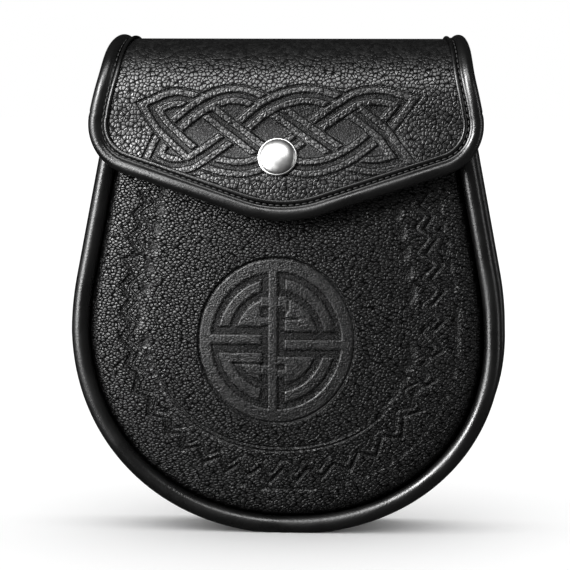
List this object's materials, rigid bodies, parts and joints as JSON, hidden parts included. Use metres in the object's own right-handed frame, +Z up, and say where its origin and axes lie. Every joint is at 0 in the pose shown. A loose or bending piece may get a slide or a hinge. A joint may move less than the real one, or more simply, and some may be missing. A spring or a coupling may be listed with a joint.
{
  "type": "sporran pouch",
  "caption": "Standing leather sporran pouch with a moulded front, piped edges, a pointed flap closed by a domed snap, and strap loops on its back.",
  "frame": {"origin": "under the middle of the bounding box, on the plane that the pouch stands on", "axes": "+Z up, -Y out of the decorated front, +X to the right as seen from the front"},
  "size_m": [0.1702, 0.0598, 0.1953],
  "materials": {
    "grained_leather": "black pebbled leather, half matt",
    "smooth_leather": "black smooth leather piping, semi-gloss",
    "satin_nickel": "satin nickel plate"
  },
  "bodies": {
    "root": {"front_panel": "grained_leather", "back_panel": "grained_leather", "gusset": "grained_leather", "front_piping": "smooth_leather", "back_piping": "smooth_leather", "flap": "grained_leather", "flap_piping": "smooth_leather", "snap_cap": "satin_nickel", "snap_stud": "satin_nickel", "belt_loop_left": "grained_leather", "belt_loop_right": "grained_leather"}
  },
  "joints": []
}
